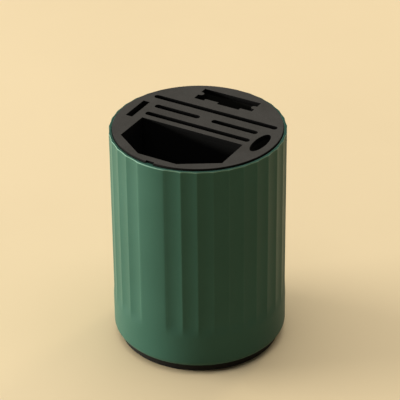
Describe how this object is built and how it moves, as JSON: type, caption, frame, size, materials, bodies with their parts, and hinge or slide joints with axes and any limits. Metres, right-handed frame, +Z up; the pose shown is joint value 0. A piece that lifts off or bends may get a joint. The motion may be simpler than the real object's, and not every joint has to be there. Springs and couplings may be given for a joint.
{
  "type": "tool storage caddy",
  "caption": "Round desktop caddy for hobby tools: a fluted cup that turns on a low base, with a lift-out insert of narrow slots, a stepped slot, an oval slot and an open pocket.",
  "frame": {"origin": "on the table, under the middle of the base", "axes": "+Z up, +X along the narrow slots towards the oval slot, +Y towards the stepped cutter slot; the open pocket faces -Y"},
  "size_m": [0.101, 0.1008, 0.136],
  "materials": {
    "cup_green": "satin moulded",
    "insert_grey": "fine texture",
    "base_black": "fine texture",
    "foot_rubber": "matte",
    "bearing_steel": "polished",
    "nylon_white": "satin"
  },
  "bodies": {
    "base": {"base_disc": "base_black", "anti_slip_ring": "foot_rubber", "lower_race": "bearing_steel", "pivot_washer": "bearing_steel", "pivot_screw": "bearing_steel"},
    "ball_ring": {"ball_cage": "nylon_white", "bearing_balls": "bearing_steel"},
    "cup": {"outer_cup": "cup_green", "upper_race": "bearing_steel", "pivot_bush": "nylon_white", "pivot_cap": "insert_grey"},
    "insert": {"deck_plate": "insert_grey", "pocket_cup": "insert_grey", "cutter_sleeve": "insert_grey", "oval_sleeve": "insert_grey", "guide_plate": "insert_grey", "post_screws": "bearing_steel", "spacer_post_1": "insert_grey", "spacer_post_2": "insert_grey", "spacer_post_3": "insert_grey", "spacer_post_4": "insert_grey"}
  },
  "joints": [
    {"name": "cup_turn", "type": "hinge", "parent": "base", "child": "cup", "pos_m": [0, 0, 0.0049], "axis": [0, 0, 1], "continuous": true},
    {"name": "cage_turn", "type": "hinge", "parent": "base", "child": "ball_ring", "pos_m": [0, 0, 0.0049], "axis": [0, 0, 1], "continuous": true},
    {"name": "insert_lift", "type": "slide", "parent": "cup", "child": "insert", "axis": [0, 0, 1], "range_m": [0, 0.1]}
  ],
  "couplings": [
    {"joint": "cage_turn", "follows": "cup_turn", "ratio": 0.5}
  ]
}
